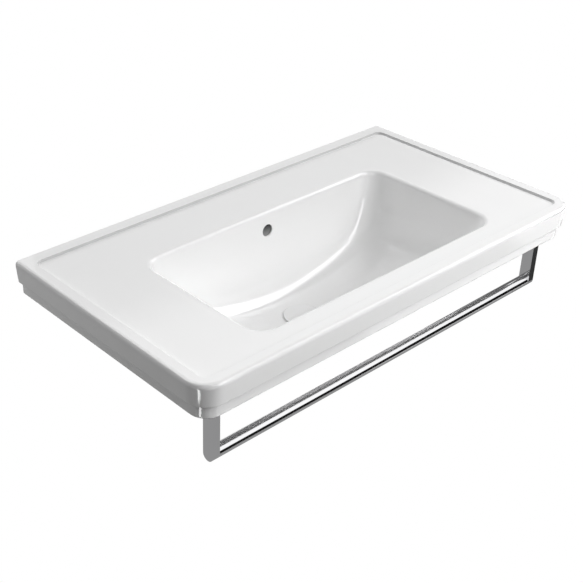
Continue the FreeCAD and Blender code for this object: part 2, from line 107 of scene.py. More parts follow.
# Waste hole and overflow
waste_y = -262.0
seat_radius = 42.0
seat_z = -81.5
seat_edge = 0.8
flange_pocket_radius = 33.0
flange_pocket_z = -85.5
waste_hole_radius = 23.0
overflow_radius = 13.0
overflow_z = 73.0
overflow_edge = 1.5
overflow_reach = 24.0
overflow_end_radius = 0.26
overflow_block_height = 23.0
overflow_block_columns = 7
overflow_wall_band = 30.0

# Back panel, cheeks and overflow channel
panel_half_width = 230.0
panel_foot_z = -70.0
panel_radius = 40.0
panel_thickness = 16.0
bolt_half_spacing = 140.0
bolt_hole_radius = 7.0
cheek_x = 200.0
cheek_half_thickness = 8.0
cheek_edge = 1.0
cheek_profile = ((-8.0, 106.0), (-8.0, -60.0), (-60.0, -60.0), (-152.0, -10.0), (-145.0, 106.0))
channel_half_width = 28.0
channel_inner = 5.0
channel_outer = 32.0
channel_top_z = 98.0
channel_edge_radius = 5.0

# Cover over the waste
cover_radius = 39.0
cover_foot_z = -79.9
cover_edge = 2.9
cover_crown = 1.4
cover_rounding = 1.4
cover_foot_radius = 0.5
carrier_recess_radius = 28.2
carrier_recess_depth = 1.5

# Towel rail
leg_x = 440.5
leg_half_width = 8.5
rail_y = -489.0
rail_z = -59.8
rail_radius = 12.0
bar_wall = 1.5
rail_edge_radius = 0.12
edge_support = 0.05
leg_top_z = 40.5

# Rows and columns of the meshes
corner_columns = 12
arc_points = 9
lip_rows = 11
bowl_wall_rows, bowl_floor_rows = 60, 45
hull_wall_rows, hull_floor_rows = 30, 20
panel_columns = 120
channel_rows = 16
channel_edge_points = 6
cover_columns = 128
cover_foot_points, cover_edge_points, cover_dome_points = 5, 10, 14
leg_edge_points, leg_foot_points = 6, 49
bar_stations, bar_columns = 9, 96

# Where loops lie across a flat strip, as shares; those near its ends keep its shading flat
face_shares, band_shares = (0.02, 0.5, 0.98), (0.03, 0.97)
deck_shares, rim_shares = (0.02, 0.5, 0.99), (0.08, 0.5, 0.92)
hole_shares = (0.35, 0.7, 0.95)

# Tilts in degrees of loops on small rounded edges, and where the cover's edge meets its dome
seat_tilts = (30, 60)
overflow_tilts = (22.5, 45, 67.5, 90)
cover_edge_end = 88

# Lengths in metres below which doubles and slivers go, and sharp edges' least angles in degrees
merge_length, sliver_length = 2e-6, 1e-7
sharp_angle, turned_sharp_angle = 32.0, 40.0

# Lengths and shares below this count as none, and two walls of a crease turn by at least a share
tiny = 1e-6
least_turn = 1e-4

# Point above the waste from which rays find the bowl's walls
ray_start = np.array([0.0, waste_y, deck_z + ray_height])


def spokes(angle):
    """Unit directions in a plane, the cosine and sine of angles in radians."""
    return np.stack([np.cos(angle), np.sin(angle)], axis=1)


def arc(centre, radius, start, end, count):
    """Points on an arc: its centre plus the radius times spokes at even angles in degrees."""
    return np.asarray(centre) + radius * spokes(np.radians(np.linspace(start, end, count)))


def line(start, end, shares):
    """Points on a straight line, at shares of the way from its start to its end."""
    shares = np.asarray(shares)
    return np.outer(1 - shares, start) + np.outer(shares, end)


def ring_between(outer, inner, shares):
    """Loops at shares of the way from an outer loop to an inner one."""
    return [outer * (1 - share) + inner * share for share in shares]


def grid_faces(rows, count, close_rows=False):
    """Quads of a grid whose columns close on themselves; the rows close too where asked."""
    down = np.arange(rows if close_rows else rows - 1)
    j, i = np.meshgrid(down, np.arange(count), indexing="ij")
    below, beside = (j + 1) % rows, (i + 1) % count
    quads = [j * count + i, j * count + beside, below * count + beside, below * count + i]
    return np.stack(quads, axis=-1)


def capped(points):
    """Closed surface of a stack of loops: quads between them, and one face on each end."""
    rows, count = points.shape[:2]
    faces = list(grid_faces(rows, count).reshape(-1, 4))
    faces += [list(range(count))[::-1], list(range((rows - 1) * count, rows * count))]
    return points, faces


def add_object(name, data):
    """New object at the origin for a mesh, lamp or camera."""
    item = bpy.data.objects.new(name, data)
    bpy.context.collection.objects.link(item)
    return item


def make_piece(name, shells, material, sharp=sharp_angle):
    """One mesh object from shells of points and faces: doubles merged, faces outward, smooth below
    an angle in degrees."""
    points, faces, offset = [], [], 0
    for shell_points, shell_faces in shells:
        points.append(np.asarray(shell_points, dtype=float).reshape(-1, 3))
        for face in shell_faces:
            faces.append([int(index) + offset for index in face])
        offset += len(points[-1])
    mesh = bpy.data.meshes.new(name)
    mesh.from_pydata((np.concatenate(points) * MM).tolist(), [], faces)
    work = bmesh.new()
    work.from_mesh(mesh)
    bmesh.ops.remove_doubles(work, verts=work.verts, dist=merge_length)
    bmesh.ops.dissolve_degenerate(work, edges=work.edges, dist=sliver_length)
    bmesh.ops.recalc_face_normals(work, faces=work.faces)
    work.to_mesh(mesh)
    work.free()
    mesh.polygons.foreach_set("use_smooth", np.ones(len(mesh.polygons), dtype=bool))
    mesh.set_sharp_from_angle(angle=radians(sharp))
    mesh.materials.append(material)
    return add_object(name, mesh)


def place(piece, body, slot, *nodes):
    """Put a piece on its body in the place of the solids that it replaces; the slot is not used."""
    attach(piece, body)
    if nodes:
        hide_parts(*nodes)


# Columns of every loop round the basin: front, right, back and left, with corners between them
long_shares = np.concatenate([
    [0.0, 0.004], np.linspace(0.015, 0.45, 18), np.linspace(0.458, 0.542, 15),
    np.linspace(0.55, 0.985, 18), [0.996, 1.0],
])
short_shares = np.concatenate([[0.0, 0.008], np.linspace(0.03, 0.97, 24), [0.992, 1.0]])
long_count, short_count = len(long_shares), len(short_shares)
columns = 2 * (long_count + short_count) + 4 * corner_columns
back_start = long_count + short_count + 2 * corner_columns


def loop(left, right, front, back, radii):
    """Rounded rectangle in plan: four straight sides split at fixed shares, joined by corner arcs.
    The radii are those of the front right, back right, back left and front left corners."""
    fr, br, bl, fl = radii

    def bend(x, y, radius, first):
        return arc((x, y), radius, first, first + 90, corner_columns + 2)[1:-1]

    return np.concatenate([
        line((left + fl, front), (right - fr, front), long_shares),
        bend(right - fr, front + fr, fr, -90),
        line((right, front + fr), (right, back - br), short_shares),
        bend(right - br, back - br, br, 0),
        line((right - br, back), (left + bl, back), long_shares),
        bend(left + bl, back - bl, bl, 90),
        line((left, back - bl), (left, front + fl), short_shares),
        bend(left + fl, front + fl, fl, 180),
    ])


def outline(offset):
    """Outer outline of the basin, moved outwards by an offset on its sides and front."""
    front_corner = corner_radius + offset
    radii = (front_corner, rear_corner_radius, rear_corner_radius, front_corner)
    return loop(-half_width - offset, half_width + offset, -depth - offset, 0.0, radii)


def recess(inset):
    """Outline of the sunken deck, moved inwards by an inset."""
    margin = rim_width + inset
    side = half_width - margin
    return loop(-side, side, margin - depth, -margin, (recess_radius - inset,) * 4)


def lift(plan, z):
    """A plan loop at one height or at a height for each column."""
    return np.column_stack([plan, np.broadcast_to(z, (len(plan),))])


def leaning(draft):
    """Level and upright shares of the direction square to a wall with a draft in degrees."""
    return math.cos(radians(draft)), math.sin(radians(draft))


def hammock_depth(x, z):
    """Depth inside the bowl seen from the front: distance in from the floor arc, a side arc or a
    leaning side, and the upward share of the direction in which that depth grows."""
    x = np.abs(x)
    top = floor_z + floor_radius
    reach = floor_radius - side_radius
    lean, drop = leaning(side_draft)
    span = bowl_half_width * lean - side_radius + (top - deck_z) * drop
    spread = math.asin(span / reach) - radians(side_draft)
    side_x, side_z = reach * math.sin(spread), top - reach * math.cos(spread)
    on_floor = np.arctan2(x, top - z) < spread
    on_arc = (np.arctan2(x - side_x, side_z - z) < radians(90 - side_draft)) & (z < side_z)
    floor_reach, arc_reach = np.hypot(x, top - z), np.hypot(x - side_x, z - side_z)
    wall_depth = side_radius - (x - side_x) * lean + (z - side_z) * drop
    arc_or_wall = np.where(on_arc, side_radius - arc_reach, wall_depth)
    depth_in = np.where(on_floor, floor_radius - floor_reach, arc_or_wall)
    floor_rise, arc_rise = (top - z) / floor_reach, (side_z - z) / np.maximum(arc_reach, tiny)
    return depth_in, np.where(on_floor, floor_rise, np.where(on_arc, arc_rise, drop))


def front_depth(y, z):
    """Depth inside the leaning front wall and the arc that scoops it to the floor, and its
    upward share."""
    centre_z = floor_z - scoop_dip + scoop_radius
    lean, drop = leaning(front_draft)
    centre_y = bowl_front_y + (deck_z - centre_z) * drop / lean + scoop_radius / lean
    angle = np.arctan2(centre_z - z, centre_y - y)
    reach = np.hypot(y - centre_y, z - centre_z)
    plane = (y - bowl_front_y) * lean - (deck_z - z) * drop
    base = z - (floor_z - scoop_dip)
    on_plane, on_curve = angle < radians(front_draft), angle < radians(90)
    depth_in = np.where(on_plane, plane, np.where(on_curve, scoop_radius - reach, base))
    curve_rise = (centre_z - z) / np.maximum(reach, tiny)
    return depth_in, np.where(on_plane, drop, np.where(on_curve, curve_rise, 1.0))


def back_depth(y, z):
    """Depth inside the leaning back wall, and its upward share."""
    lean, drop = leaning(back_draft)
    return (bowl_back_y - y) * lean - (deck_z - z) * drop, drop


def rounded(first, second, cosine, radius):
    """Lesser of two depths, with the crease rounded as by a ball: between the two touching points
    the depth is the radius less the distance to the ball's centre, for the walls' angle."""
    a, b = first - radius, second - radius
    near = (a < b * cosine) & (b < a * cosine)
    spread = np.maximum(1 - cosine ** 2, least_turn)
    reach = np.sqrt(np.maximum(a ** 2 + b ** 2 - 2 * a * b * cosine, 0) / spread)
    return np.where(near, radius - reach, np.minimum(first, second))


def bowl_depth(p):
    """Depth inside the bowl: the hammock with its creases to the back and the front wall rounded.
    The rounding is tighter at the mouth of the bowl than at the floor."""
    x, y, z = p[..., 0], p[..., 1], p[..., 2]
    fillet = np.interp(z, (floor_z + bowl_fillet, deck_z), (bowl_fillet, mouth_fillet))
    across, across_rise = hammock_depth(x, z)
    behind, behind_rise = back_depth(y, z)
    before, before_rise = front_depth(y, z)
    rear = rounded(across, behind, across_rise * behind_rise, fillet)
    fore = rounded(across, before, across_rise * before_rise, fillet)
    return np.minimum(rear, fore)


def bowl_slope(p, step=0.05):
    """Unit direction in which the depth inside the bowl grows, by central differences."""
    shifts = np.eye(3) * step
    slope = np.stack([bowl_depth(p + s) - bowl_depth(p - s) for s in shifts], axis=-1)
    return slope / np.linalg.norm(slope, axis=-1, keepdims=True)


def cast(start, direction, level):
    """Points along rays from inside the bowl where the depth falls to a level, by halving."""
    direction = direction / np.linalg.norm(direction, axis=-1, keepdims=True)
    low = np.zeros(direction.shape[:-1])
    high = np.full(direction.shape[:-1], ray_limit)
    for _ in range(halvings):
        middle = (low + high) / 2
        inside = bowl_depth(start + middle[..., None] * direction) > level
        low, high = np.where(inside, middle, low), np.where(inside, high, middle)
    return start + low[..., None] * direction


def fascia_rows():
    """Outward offset and height down the fascia: the arcs of the rim's edge, each starting where
    the last one ends, then the drafted face, lip, cove, band and rounded foot."""
    cosine, sine = leaning(fascia_draft)
    tilts = [tilt for tilt, _ in edge_arcs] + [90.0 + fascia_draft]
    pieces, start = [], np.array([0.0, rim_z])
    for (first, radius), last in zip(edge_arcs, tilts[1:]):
        centre = start - radius * np.array([math.sin(radians(first)), math.cos(radians(first))])
        pieces.append(arc(centre, radius, 90 - first, 90 - last, arc_points))
        start = pieces[-1][-1]
    top = np.concatenate([pieces[0]] + [piece[1:] for piece in pieces[1:]])
    top[:, 0] -= top[:, 0].max()
    lip_z = rim_z - fascia_height + fascia_lip_radius
    drop = top[-1][1] - (lip_z - fascia_lip_radius * sine)
    lip = (top[-1][0] - drop * sine / cosine - fascia_lip_radius * cosine, lip_z)
    cove = (cove_radius - band_inset, rim_z - fascia_height - cove_radius)
    foot = (-band_inset - foot_radius, skirt_foot_z + foot_radius)
    edge = arc(lip, fascia_lip_radius, -fascia_draft, -90, arc_points)
    hollow = arc(cove, cove_radius, 90, 180, arc_points + 1)
    heel = arc(foot, foot_radius, 0, -90, arc_points - 1)
    face = line(top[-1], edge[0], face_shares)
    band = line(hollow[-1], heel[0], band_shares)
    return np.concatenate([top, face, edge, hollow, band, heel])


def step_rows():
    """Inset and height down the step from rim to deck: rounded crest, slope and rounded foot."""
    lean = math.degrees(math.atan2(rim_z - deck_z, step_run))
    reach = math.tan(radians(lean / 2))
    crest_centre = (-step_crest_radius * reach, rim_z - step_crest_radius)
    foot_centre = (step_run + step_foot_radius * reach, deck_z + step_foot_radius)
    crest = arc(crest_centre, step_crest_radius, 90, 90 - lean, arc_points - 2)
    foot = arc(foot_centre, step_foot_radius, 270 - lean, 270, arc_points - 1)
    return np.concatenate([crest, foot])


def pocket_outline():
    """Opening under the deck: a rounded rectangle whose two front corners step back round the solid
    corners."""
    radii = (pocket_radius,) * 4
    plan = loop(-pocket_half_width, pocket_half_width, pocket_front_y, pocket_back_y, radii)
    inner_x, inner_y = pocket_half_width - pad_width, pocket_front_y + pad_length
    third = corner_columns // 3
    rise = np.linspace(0, 1, third + 1)[1:]
    run = (rise - rise[0]) / (pad_run_end - rise[0])
    turn = (inner_x + pad_radius, inner_y - pad_radius)
    notch = np.concatenate([
        line((inner_x, pocket_front_y), (inner_x, turn[1]), rise),
        arc(turn, pad_radius, 180, 90, corner_columns - 2 * third),
        line((turn[0], inner_y), (pocket_half_width, inner_y), run),
    ])
    front_ends = (-inner_x, pocket_front_y), (inner_x, pocket_front_y)
    side_ends = (pocket_half_width, inner_y), (pocket_half_width, pocket_back_y - pocket_radius)
    plan[:long_count] = line(*front_ends, np.linspace(0, 1, long_count))
    right = line(*side_ends, np.linspace(0, 1, short_count))
    start = long_count + corner_columns
    plan[long_count:start] = notch
    plan[start:start + short_count] = right
    left_start = back_start + long_count + corner_columns
    plan[left_start:left_start + short_count] = right[::-1] * (-1, 1)
    plan[left_start + short_count:] = notch[::-1] * (-1, 1)
    return plan


def round_at(radius, angle, z):
    """A circle round the waste, with one point for each column."""
    x, y = radius * np.cos(angle), waste_y + radius * np.sin(angle)
    return np.column_stack([x, y, np.broadcast_to(z, angle.shape)])


def fan(aim, angle, top, deep, radius, wall_rows, floor_rows):
    """Ray directions, row by row: down the wall from a loop at its top to a depth, then at that
    depth from the aim in to a circle round the waste."""
    ends = top - ray_start
    first = ends[:, 2] * np.linalg.norm(aim, axis=1) / np.linalg.norm(ends[:, :2], axis=1)
    circle = radius * spokes(angle)
    rays = []
    for share in np.linspace(0, 1, wall_rows + 1)[1:]:
        rays.append(np.column_stack([aim, first + (deep - first) * share]))
    for share in np.linspace(0, 1, floor_rows + 1)[1:]:
        rays.append(np.column_stack([aim * (1 - share) + circle * share, np.full(columns, deep)]))
    return np.array(rays)


def bowl_rows():
    """Lip, walls and floor of the bowl as loops: a ball rolled round the lip, then rays from above
    the waste."""
    radii = (bowl_fillet,) * 4
    aim = loop(-bowl_half_width, bowl_half_width, bowl_front_y, bowl_back_y, radii) - (0, waste_y)
    angle = np.arctan2(aim[:, 1], aim[:, 0])
    flat = np.column_stack([aim, np.zeros(columns)])
    axis = cast(np.array([0, waste_y, deck_z - lip_radius]), flat, -lip_radius)
    inward = bowl_slope(axis)
    up = np.array([0.0, 0.0, 1.0])
    spread = np.arccos(np.clip(inward @ up, -1, 1))[:, None]
    lip = []
    for share in np.linspace(0, 1, lip_rows):
        blend = np.sin((1 - share) * spread) * up + np.sin(share * spread) * inward
        lip.append(axis + lip_radius * blend / np.sin(spread))
    edge, deep = seat_radius + seat_edge, floor_z - ray_start[2]
    rays = fan(aim, angle, lip[-1], deep, edge, bowl_wall_rows, bowl_floor_rows)
    inner = cast(ray_start, rays, 0.0)
    inner[-1, :, :2] = round_at(edge, angle, 0.0)[:, :2]
    return lip, list(inner), aim, angle


def hull_rows(aim, angle):
    """Outside of the bowl: the same rays carried on to the wall's thickness, from under the deck to
    the boss."""
    flat = np.column_stack([aim, np.zeros(columns)])
    top = cast(np.array([0, waste_y, under_deck_z]), flat, -bowl_wall)
    deep = floor_z - bowl_wall - ray_start[2]
    rays = fan(aim, angle, top, deep, boss_radius, hull_wall_rows, hull_floor_rows)
    return [top] + list(cast(ray_start, rays, -bowl_wall))


def basin_shell():
    """The whole casting as one closed band of loops: fascia, foot, pocket, hull, boss, waste hole,
    bowl, deck and rim. It also says at which loop the bowl starts and how many loops it has."""
    loops = [lift(outline(offset), z) for offset, z in fascia_rows()]
    pocket = pocket_outline()
    loops += [lift(pocket, skirt_foot_z), lift(pocket, under_deck_z)]
    lip, bowl, aim, angle = bowl_rows()
    loops += hull_rows(aim, angle)
    boss_and_seat = [
        (boss_radius, boss_foot_z + boss_edge), (boss_radius - boss_edge, boss_foot_z),
        (waste_hole_radius, boss_foot_z), (waste_hole_radius, flange_pocket_z),
        (flange_pocket_radius, flange_pocket_z), (flange_pocket_radius, seat_z),
        (seat_radius, seat_z),
    ]
    loops += [round_at(radius, angle, z) for radius, z in boss_and_seat]
    edge_z = bowl[-1][:, 2]
    loops.append(round_at(seat_radius, angle, edge_z - seat_edge))
    for tilt in np.radians(seat_tilts):
        radius = seat_radius + seat_edge * (1 - math.cos(tilt))
        loops.append(round_at(radius, angle, edge_z - seat_edge * (1 - math.sin(tilt))))
    bowl_first = len(loops)
    loops += bowl[::-1]
    loops += lip[::-1]
    steps = step_rows()
    foot = lift(recess(steps[-1][0]), deck_z)
    loops += ring_between(lip[0], foot, deck_shares)
    loops += [lift(recess(inset), z) for inset, z in steps[::-1]]
    crest, rim = loops[-1], loops[0]
    loops += ring_between(crest, rim, rim_shares)
    points = np.array(loops)
    faces = grid_faces(len(loops), columns, close_rows=True)
    return points, faces, bowl_first, len(bowl)


def overflow_patch(points, faces, first_row, row_count):
    """The overflow hole in the back wall: a block of quads makes way for rings round the hole, its
    rounded edge, and a tube closed at the far end."""
    rows, across = points.shape[:2]
    middle = back_start + long_count // 2
    wall = points[first_row:first_row + row_count, middle]
    level = np.abs(wall[:, 2] - overflow_z) < overflow_block_height
    near = np.where(level & (wall[:, 1] > bowl_back_y - overflow_wall_band))[0] + first_row
    row_low, row_high = near[0], near[-1]
    left, right = middle - overflow_block_columns, middle + overflow_block_columns
    keep = np.ones(faces.shape[:2], dtype=bool)
    keep[row_low:row_high, left:right] = False
    edge = [(row_low, i) for i in range(left, right)]
    edge += [(j, right) for j in range(row_low, row_high)]
    edge += [(row_high, i) for i in range(right, left, -1)]
    edge += [(j, left) for j in range(row_high, row_low, -1)]
    edge = np.array(edge)
    border = points[edge[:, 0], edge[:, 1]]
    angle = np.arctan2(border[:, 2] - overflow_z, border[:, 0])
    lean = math.tan(radians(back_draft))

    def hole(radius, set_back):
        x, z = radius * np.cos(angle), overflow_z + radius * np.sin(angle)
        return np.column_stack([x, bowl_back_y - (deck_z - z) * lean + set_back, z])

    outer = hole(overflow_radius + overflow_edge, 0.0)
    rings = ring_between(border, outer, hole_shares) + [outer]
    for tilt in np.radians(overflow_tilts):
        radius = overflow_radius + overflow_edge * (1 - math.sin(tilt))
        rings.append(hole(radius, overflow_edge * (1 - math.cos(tilt))))
    rings += [hole(overflow_radius, overflow_reach / 2), hole(overflow_radius, overflow_reach)]
    rings.append(hole(overflow_end_radius, overflow_reach))
    count = len(edge)
    extra = np.concatenate(rings)
    border_index = edge[:, 0] * across + edge[:, 1]
    index = np.concatenate([border_index, rows * across + np.arange(len(extra))])
    ring_faces = index[grid_faces(len(rings) + 1, count).reshape(-1, 4)]
    cap = [list(index[-count:][::-1])]
    all_points = np.concatenate([points.reshape(-1, 3), extra])
    return all_points, list(faces[keep]) + list(ring_faces) + cap


def along_x(section, x):
    """A section of Y and Z pairs, set at one place along X."""
    return np.column_stack([np.full(len(section), x), section])


def swept(sections, levels):
    """Closed bar along X: one outline for each level, joined by quads and capped at both ends."""
    return capped(np.array([along_x(section, x) for section, x in zip(sections, levels)]))


def prism(polygon, low, high, chamfer):
    """Closed prism of a convex polygon along X; the polygon shrinks at its chamfered ends."""
    polygon = np.asarray(polygon, dtype=float)
    centre = polygon.mean(axis=0)
    size = np.abs(polygon - centre).max(axis=0)
    small = centre + (polygon - centre) * (1 - chamfer / size)
    return swept([small, polygon, polygon, small], [low, low + chamfer, high - chamfer, high])


def panel_half(side):
    """Half of the back panel: rings from a bolt hole to the panel's outline, front and back. The
    outline lies where rays from the hole meet the straight sides or the rounded corner."""
    centre = np.array([bolt_half_spacing, 0.0])
    corner_x = np.array([0.0, panel_half_width, 0.0]) - bolt_half_spacing
    corners = np.degrees(np.arctan2([skirt_foot_z, skirt_foot_z, panel_foot_z], corner_x))
    even = np.linspace(-180, 180, panel_columns + 1)[:-1]
    ray = spokes(np.radians(np.sort(np.concatenate([even, corners]))))
    side_x = np.where(ray[:, 0] > 0, panel_half_width, 0.0) - centre[0]
    side_z = np.where(ray[:, 1] > 0, skirt_foot_z, panel_foot_z)
    with np.errstate(divide="ignore", invalid="ignore"):
        to_x = np.where(np.abs(ray[:, 0]) < tiny, np.inf, side_x / ray[:, 0])
        to_z = np.where(np.abs(ray[:, 1]) < tiny, np.inf, side_z / ray[:, 1])
    reach = np.minimum(to_x, to_z)
    border = centre + ray * reach[:, None]
    bend = np.array([panel_half_width - panel_radius, panel_foot_z + panel_radius])
    over = (border[:, 0] > bend[0]) & (border[:, 1] < bend[1])
    away = centre - bend
    along = (ray * away).sum(axis=1)
    root = np.maximum(along ** 2 - (away ** 2).sum() + panel_radius ** 2, 0)
    round_reach = -along + np.sqrt(root)
    rounded_border = centre + ray * round_reach[:, None]
    border = np.where((over & (round_reach < reach))[:, None], rounded_border, border)
    hole = centre + bolt_hole_radius * ray
    loops = [(hole, -panel_thickness), (border, -panel_thickness), (border, 0.0), (hole, 0.0)]
    rings = [np.column_stack([side * p[:, 0], np.full(len(p), y), p[:, 1]]) for p, y in loops]
    flat = np.concatenate(rings)
    faces = grid_faces(4, len(ray), close_rows=True).reshape(-1, 4)
    inner = (np.abs(flat[faces][:, :, 0]) < tiny).all(axis=1)
    return flat, list(faces[~inner])


def channel_cover():
    """Cover of the overflow channel: a rounded section carried down the bowl's back wall and along
    its floor."""
    centre_z = floor_z + bowl_fillet
    lean = radians(back_draft)
    centre_y = bowl_back_y - (deck_z - centre_z) * math.tan(lean) - bowl_fillet / math.cos(lean)
    bend = arc((centre_y, centre_z), bowl_fillet, -back_draft, -90, channel_rows)
    top = [[bowl_back_y - (deck_z - channel_top_z) * math.tan(lean), channel_top_z]]
    path = np.concatenate([top, bend, [[waste_y, floor_z]]])
    turn = np.linspace(-back_draft, -90, channel_rows)
    out = spokes(np.radians(np.concatenate([[-back_draft], turn, [-90.0]])))
    edge_x, edge_out = channel_half_width - channel_edge_radius, channel_outer - channel_edge_radius
    section = np.concatenate([
        [[-channel_half_width, channel_inner]],
        arc((-edge_x, edge_out), channel_edge_radius, 180, 90, channel_edge_points),
        arc((edge_x, edge_out), channel_edge_radius, 90, 0, channel_edge_points),
        [[channel_half_width, channel_inner]],
    ])
    loops = []
    for station, normal in zip(path, out):
        loops.append(np.column_stack([section[:, 0], station + normal * section[:, 1:]]))
    return capped(np.array(loops))


def build_basin(material):
    """The casting with its overflow hole, cheeks, back panel and overflow channel, as one piece."""
    points, faces, first, count = basin_shell()
    shells = [overflow_patch(points, faces, first, count)]
    for side in (-1, 1):
        low, high = side * cheek_x - cheek_half_thickness, side * cheek_x + cheek_half_thickness
        shells.append(prism(cheek_profile, low, high, cheek_edge))
        shells.append(panel_half(side))
    shells.append(channel_cover())
    basin = make_piece("basin_casting", shells, material)
    place(basin, "basin", "ceramic", "basin_body")


def turned(profile, columns_round):
    """Surface of revolution about the waste's axis, from pairs of radius and height."""
    angle = np.linspace(0, 2 * math.pi, columns_round, endpoint=False)
    points = np.array([round_at(radius, angle, z) for radius, z in profile])
    return points, grid_faces(len(profile), columns_round).reshape(-1, 4)


def build_cover(material):
    """Waste cover: shallow dome, rounded edge, foot and the recess under it."""
    edge = cover_foot_z + cover_edge
    shoulder = cover_radius - cover_rounding
    dome = (shoulder ** 2 + cover_crown ** 2) / (2 * cover_crown)
    angle = math.degrees(math.acos(shoulder / dome))
    recess_z = cover_foot_z + carrier_recess_depth
    foot = (cover_radius - cover_foot_radius, cover_foot_z + cover_foot_radius)
    rounding = (shoulder, edge - cover_rounding)
    profile = np.concatenate([
        [[0.0, recess_z], [carrier_recess_radius, recess_z], [carrier_recess_radius, cover_foot_z]],
        arc(foot, cover_foot_radius, -90, 0, cover_foot_points),
        arc(rounding, cover_rounding, 0, cover_edge_end, cover_edge_points),
        arc((0, edge + cover_crown - dome), dome, angle, 90, cover_dome_points),
    ])
    shells = [turned(profile, cover_columns)]
    cover = make_piece("waste_cover_glazed", shells, material, sharp=turned_sharp_angle)
    place(cover, "cover", "ceramic", "waste_cover")


def leg_outline(inset):
    """Side outline of a leg, drawn in by an inset: broken top edges, half-round foot, and points
    near the ends of the straight sides that keep their shading flat."""
    edge, half = rail_edge_radius, rail_radius - inset
    front, back, top = rail_y - half, rail_y + half, leg_top_z - edge
    high, low = top - edge_support, rail_z + edge_support
    return np.concatenate([
        arc((front + edge, top), edge, 180, 90, leg_edge_points),
        arc((back - edge, top), edge, 90, 0, leg_edge_points),
        [[back, high], [back, low]],
        arc((rail_y, rail_z), half, 0, -180, leg_foot_points),
        [[front, low], [front, high]],
    ])


def build_rail(material):
    """Tube and two legs; a leg's outer edge is its outline drawn in along a quarter circle."""
    span = leg_x - leg_half_width
    circle = arc((0.0, 0.0), 1.0, 0, 360, bar_columns + 1)[:-1]
    stations = np.linspace(-span, span, bar_stations)
    radii = [rail_radius] * bar_stations + [rail_radius - bar_wall] * bar_stations
    levels = np.concatenate([stations, stations[::-1]])
    rings = [along_x((rail_y, rail_z) + r * circle, x) for r, x in zip(radii, levels)]
    faces = grid_faces(len(rings), bar_columns, close_rows=True).reshape(-1, 4)
    bar = make_piece("towel_bar", [(np.array(rings), faces)], material, sharp=turned_sharp_angle)
    place(bar, "basin", "chrome", "rail_bar")
    tilt = np.radians(np.linspace(0, 90, leg_edge_points))
    held, drawn = rail_edge_radius + edge_support, rail_edge_radius * (1 - np.sin(tilt))
    sections = [leg_outline(inset) for inset in np.concatenate([[held], drawn, [0.0, 0.0]])]
    edge = rail_edge_radius * (1 - np.cos(tilt))
    levels = np.concatenate([[0.0], edge, [held, 2 * leg_half_width]])
    for side, name in ((-1, "left"), (1, "right")):
        shells = [swept(sections, side * (leg_x + leg_half_width - levels))]
        leg = make_piece(name + "_rail_leg", shells, material, sharp=turned_sharp_angle)
        place(leg, "basin", "chrome", name + "_leg")


# Masks on the glaze, in millimetres, for the shade painted in the overflow hole and on the step and
# for the rear corners' tilted facing: for each border, where the mask is none and where it is full
hole_round = (overflow_radius + 0.6, overflow_radius + 0.1)
hole_mouth = (0.5, 6.0)
hole_end = (overflow_reach + 3.0, overflow_reach + 1.0)
step_left, step_right, step_front, step_back = -472.0, 485.0, -522.0, -15.0
step_foot, step_crest = (deck_z + 0.1, deck_z + 0.8), (rim_z - 0.05, rim_z - 0.3)
corner_low, corner_high, corner_rear = (-15.0, 30.0), (66.0, 52.0), (-220.0, -200.0)

# The same for the facing direction in the bowl's rear corners, as shares of its length
corner_turned, corner_sideways, corner_forward = (0.08, 0.20), (0.75, 0.45), (-0.5, -0.8)
corner_lift = 0.31

# Glaze: noise, tones, the painted shade on the step and in the overflow hole, and roughness
glaze_scale, glaze_detail, glaze_ior = 9.0, 3.0, 1.6
glaze_dark, glaze_pale, painted_step_shade, painted_hole_shade = 0.90, 0.92, 0.62, 0.02
glaze_roughness, mirror_roughness = (0.03, 0.05), 0.003

# Metal and soft finishes: noise detail, drift of the roughness, and the grain's depth in metres
fine_detail = 2.0
roughness_drift = 0.2
grain_strength, grain_depth = 0.15, 0.0002


def new_material(name):
    """New material with its node tree and main shader."""
    material = bpy.data.materials.new(name)
    material.use_nodes = True
    return material, material.node_tree, material.node_tree.nodes["Principled BSDF"]


def connect(tree, node, inputs):
    """Give each input a link from an output, or a constant."""
    for socket, value in inputs.items():
        if isinstance(value, bpy.types.NodeSocket):
            tree.links.new(value, node.inputs[socket])
        else:
            node.inputs[socket].default_value = value


def add_node(tree, kind, inputs, **settings):
    """New node with its settings and inputs."""
    node = tree.nodes.new(kind)
    for name, setting in settings.items():
        setattr(node, name, setting)
    connect(tree, node, inputs)
    return node


def math_node(tree, operation, *values, kind="ShaderNodeMath"):
    """Outputs of one operation on values or vectors."""
    return add_node(tree, kind, dict(enumerate(values)), operation=operation).outputs


def vector_node(tree, operation, *vectors):
    """Outputs of one operation on vectors."""
    return math_node(tree, operation, *vectors, kind="ShaderNodeVectorMath")


def window(tree, value, border, unit=1.0):
    """Mask that rises smoothly from none to full between the two levels of a border."""
    levels = {"Value": value, "From Min": border[0] * unit, "From Max": border[1] * unit}
    return add_node(tree, "ShaderNodeMapRange", levels, interpolation_type="SMOOTHSTEP").outputs[0]


def product(tree, masks):
    """Product of several masks."""
    total = masks[0]
    for mask in masks[1:]:
        total = math_node(tree, "MULTIPLY", total, mask)[0]
    return total


def mixed(tree, factor, first, second, kind="RGBA"):
    """Colour or value mixed from a first one to a second one."""
    inputs = {"Factor": factor, "A": first, "B": second}
    return add_node(tree, "ShaderNodeMix", inputs, data_type=kind).outputs["Result"]


def grey(level):
    """Neutral colour of one level, fully opaque."""
    return level, level, level, 1.0


def new_group(name, inputs, output, kind):
    """Empty shader node group with vector inputs and one output."""
    group = bpy.data.node_groups.new(name, "ShaderNodeTree")
    for socket in inputs:
        group.interface.new_socket(socket, in_out="INPUT", socket_type="NodeSocketVector")
    group.interface.new_socket(output, in_out="OUTPUT", socket_type=kind)
    return group, group.nodes.new("NodeGroupInput"), group.nodes.new("NodeGroupOutput")


def axes(tree, vector):
    """The three values of a vector."""
    return add_node(tree, "ShaderNodeSeparateXYZ", {0: vector}).outputs


